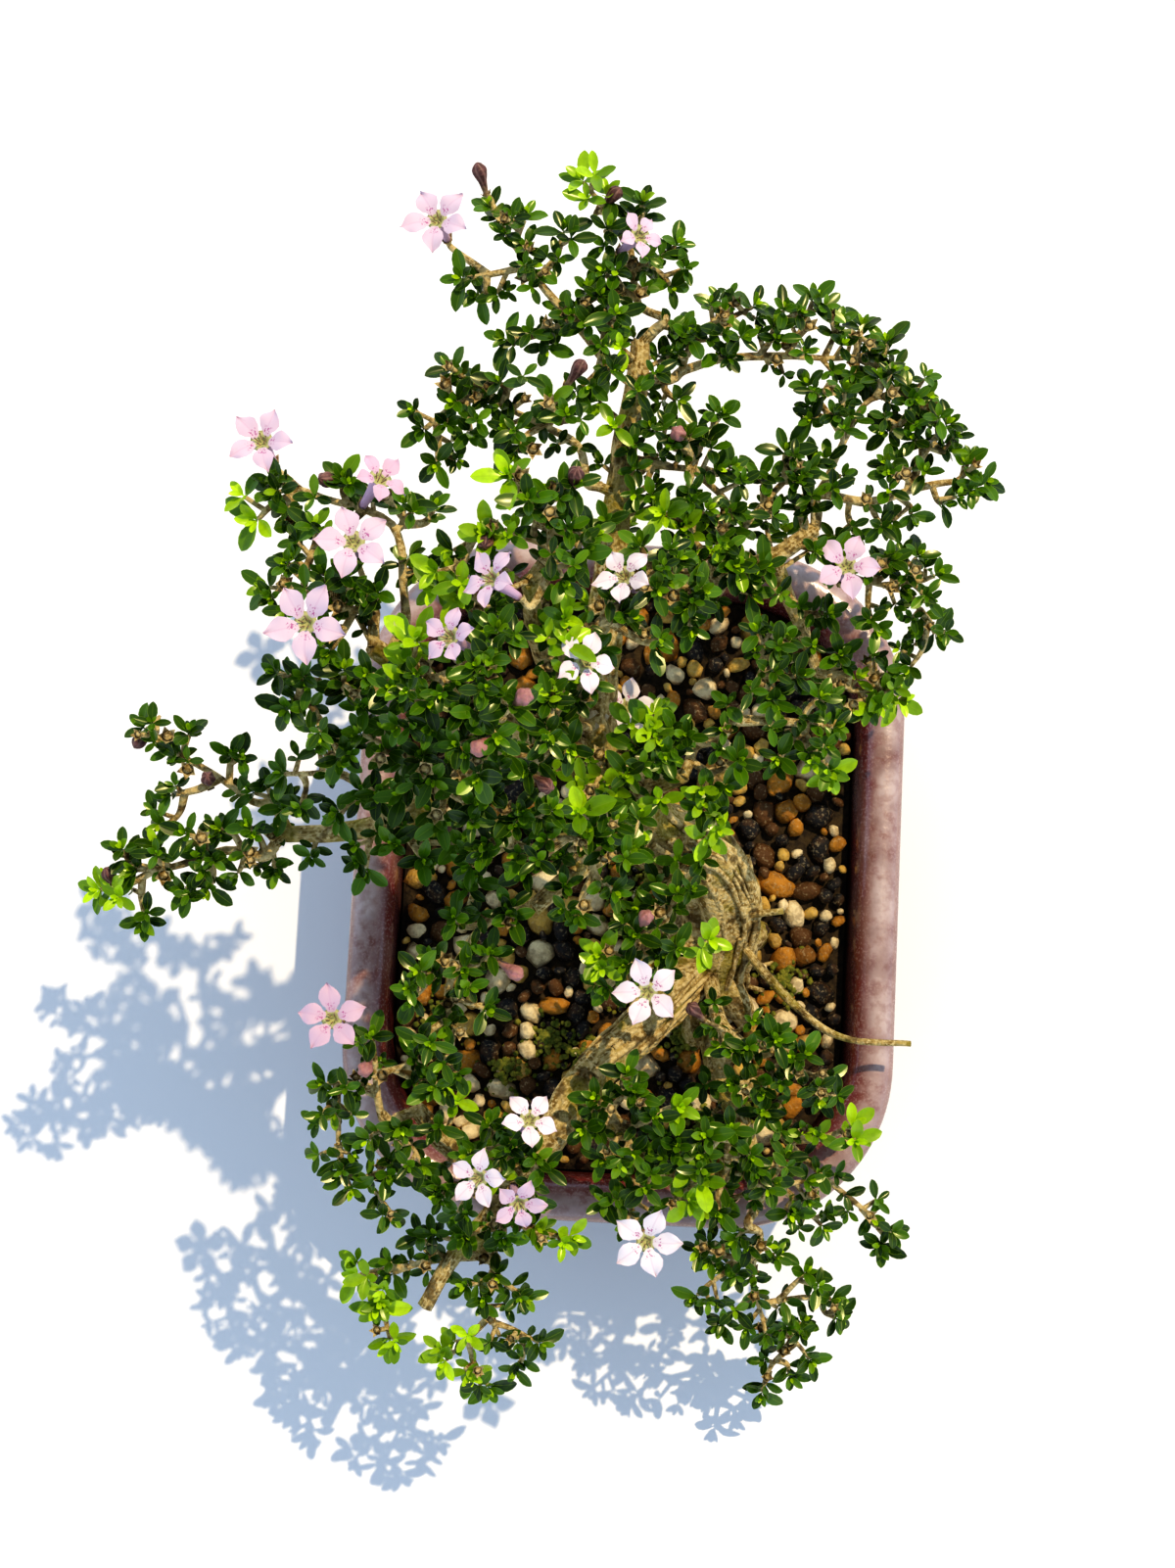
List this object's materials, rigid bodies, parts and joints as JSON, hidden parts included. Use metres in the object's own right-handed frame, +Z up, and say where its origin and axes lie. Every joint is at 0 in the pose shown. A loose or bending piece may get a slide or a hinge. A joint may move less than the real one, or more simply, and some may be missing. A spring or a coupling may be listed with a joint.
{
  "type": "potted bonsai tree",
  "caption": "Serissa bonsai with small glossy leaves and pale pink star blooms, in a glazed rounded rectangular pot of gravel.",
  "frame": {"origin": "bottom centre of the whole object's bounding box, on the surface that the pot's feet stand on", "axes": "+Z up, +Y along the pot's length towards the top of the picture, +X across the pot towards the picture's right"},
  "size_m": [0.1586, 0.216, 0.1593],
  "materials": {
    "glaze": "glossy mauve glaze with pale speckles and burgundy patches",
    "gravel": "mixed cream, tan, brown and dark grit with moss",
    "bark": "rough tan bark with striations and moss",
    "leaf": null,
    "petal": null
  },
  "bodies": {
    "root": {"pot": "glaze", "soil": "gravel", "trunk": "bark", "leafy_stem_01": "leaf", "leafy_stem_02": "leaf", "leafy_stem_03": "leaf", "leafy_stem_04": "leaf", "leafy_stem_05": "leaf", "leafy_stem_06": "leaf", "leafy_stem_07": "leaf", "leafy_stem_08": "leaf", "leafy_stem_09": "leaf", "leafy_stem_10": "leaf", "leafy_stem_11": "leaf", "leafy_stem_12": "leaf", "leafy_stem_13": "leaf", "leafy_stem_14": "leaf", "leafy_stem_15": "leaf", "leafy_stem_16": "leaf", "leafy_stem_17": "leaf", "leafy_stem_18": "leaf", "leafy_stem_19": "leaf", "leafy_stem_20": "leaf", "leafy_stem_21": "leaf", "leafy_stem_22": "leaf", "leafy_stem_23": "leaf", "leafy_stem_24": "leaf", "leafy_stem_25": "leaf", "leafy_stem_26": "leaf", "leafy_stem_27": "leaf", "leafy_stem_28": "leaf", "leafy_stem_29": "leaf", "leafy_stem_30": "leaf", "leafy_stem_31": "leaf", "leafy_stem_32": "leaf", "leafy_stem_33": "leaf", "leafy_stem_34": "leaf", "leafy_stem_35": "leaf", "leafy_stem_36": "leaf", "leafy_stem_37": "leaf", "leafy_stem_38": "leaf", "bloom_01": "petal", "bloom_02": "petal", "bloom_03": "petal", "bloom_04": "petal", "bloom_05": "petal", "bloom_06": "petal", "bloom_07": "petal", "bloom_08": "petal", "bloom_09": "petal", "bloom_10": "petal", "bloom_11": "petal", "bloom_12": "petal", "bloom_13": "petal", "bloom_14": "petal", "bloom_15": "petal", "bloom_16": "petal", "bloom_17": "petal", "bloom_18": "petal"}
  },
  "joints": []
}
